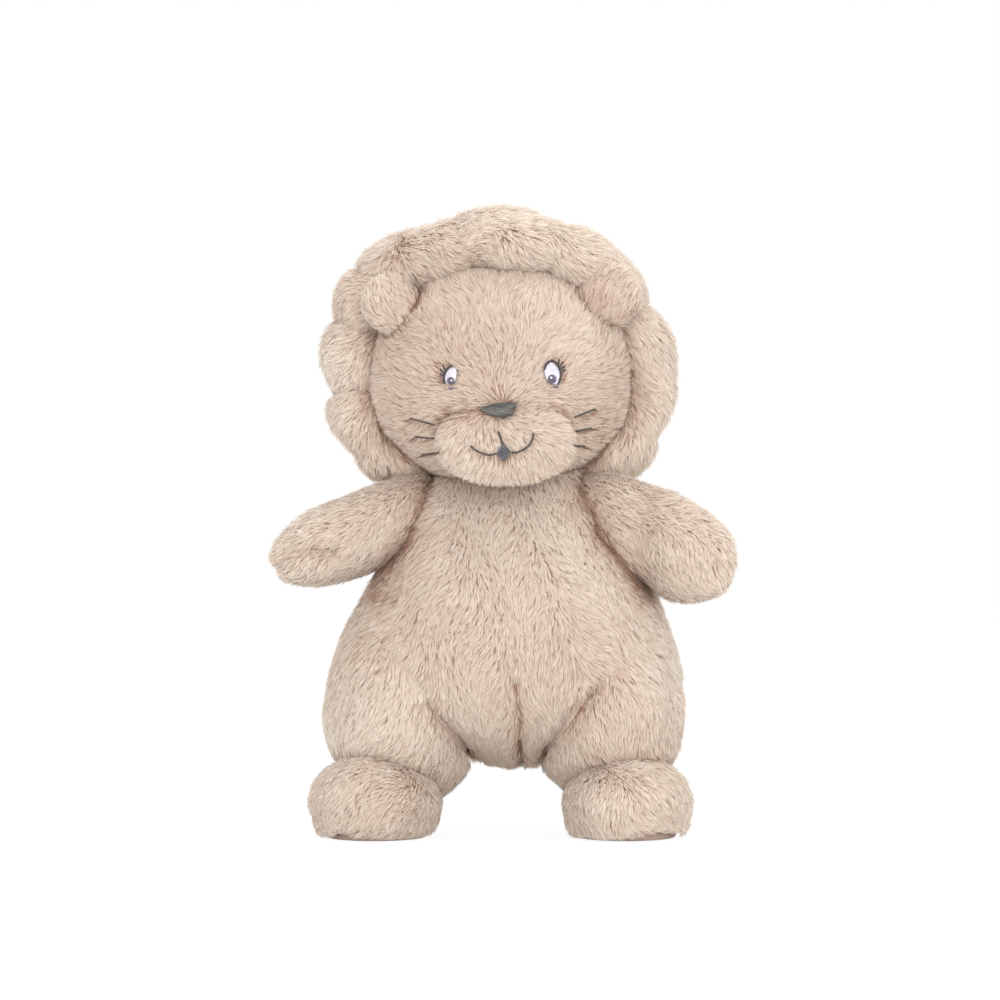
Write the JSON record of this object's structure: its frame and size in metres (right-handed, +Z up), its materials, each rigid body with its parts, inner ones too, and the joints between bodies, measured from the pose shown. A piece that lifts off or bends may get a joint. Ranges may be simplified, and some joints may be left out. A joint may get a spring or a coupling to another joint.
{
  "type": "plush music box",
  "caption": "Soft standing lion in dense beige plush with an embroidered face, and a wind-up musical movement in its back.",
  "frame": {"origin": "middle of the footprint's box on the floor, under both soles", "axes": "+Z up; -Y is the way the face looks; +X is to the right as the face is seen, and left and right in names are as seen from the front; the winding key points along +Y"},
  "size_m": [0.1929, 0.1372, 0.2586],
  "materials": {
    "plush_body": "dense soft pile",
    "plush_mane": "dense soft pile",
    "sole_cloth": "short pile",
    "thread_white": "satin stitch",
    "thread_dark": "satin stitch",
    "thread_beige": "whipped stitch",
    "case_plastic": "moulded, fine texture",
    "cast_metal": "as cast",
    "spring_steel": "ground",
    "key_nickel": "nickel plated",
    "brass": "turned",
    "nylon": "moulded"
  },
  "bodies": {
    "plush": {"torso": "plush_body", "head": "plush_body", "muzzle": "plush_body", "mane": "plush_mane", "ear_left": "plush_mane", "ear_right": "plush_mane", "arm_left": "plush_body", "arm_right": "plush_body", "leg_left": "plush_body", "leg_right": "plush_body", "foot_left": "plush_body", "foot_right": "plush_body", "sole_left": "sole_cloth", "sole_right": "sole_cloth", "tail": "plush_body", "tail_tuft": "plush_mane", "eye_left": "thread_white", "eye_right": "thread_white", "nose": "thread_dark", "mouth": "thread_dark", "whisker_left_1": "thread_dark", "whisker_left_2": "thread_dark", "whisker_left_3": "thread_dark", "whisker_right_1": "thread_dark", "whisker_right_2": "thread_dark", "whisker_right_3": "thread_dark", "key_eyelet": "thread_beige", "case_back": "case_plastic", "case_front": "case_plastic", "bedplate": "cast_metal", "spring_cup": "cast_metal", "mainspring": "spring_steel", "comb": "spring_steel", "comb_riser": "cast_metal", "comb_screw_1": "spring_steel", "comb_screw_2": "spring_steel", "bearing_left": "cast_metal", "bearing_right": "cast_metal"},
    "winder": {"winding_key": "key_nickel", "winding_arbor": "spring_steel", "great_wheel": "brass"},
    "tune_cylinder": {"cylinder": "brass", "cylinder_shaft": "spring_steel", "cylinder_pinion": "brass", "cylinder_gear": "nylon"},
    "governor": {"governor_shaft": "spring_steel", "governor_pinion": "brass", "governor_wheel": "nylon"},
    "air_brake": {"governor_worm": "nylon"}
  },
  "joints": [
    {"name": "key_turn", "type": "hinge", "parent": "plush", "child": "winder", "pos_m": [0, 0.0225, 0.076], "axis": [0, 1, 0], "range_deg": [0, 2250]},
    {"name": "cylinder_turn", "type": "hinge", "parent": "plush", "child": "tune_cylinder", "pos_m": [-0.0257, 0.00928, 0.076], "axis": [1, 0, 0], "range_deg": [-5625, 0]},
    {"name": "governor_turn", "type": "hinge", "parent": "plush", "child": "governor", "pos_m": [-0.03825, 0.00928, 0.085], "axis": [1, 0, 0], "range_deg": [0, 16875]},
    {"name": "brake_turn", "type": "hinge", "parent": "plush", "child": "air_brake", "pos_m": [-0.03825, 0.00928, 0.0923], "axis": [0, 1, 0], "range_deg": [0, 405000]}
  ],
  "couplings": [
    {"joint": "cylinder_turn", "follows": "key_turn", "ratio": -2.5},
    {"joint": "governor_turn", "follows": "key_turn", "ratio": 7.5},
    {"joint": "brake_turn", "follows": "key_turn", "ratio": 180}
  ]
}
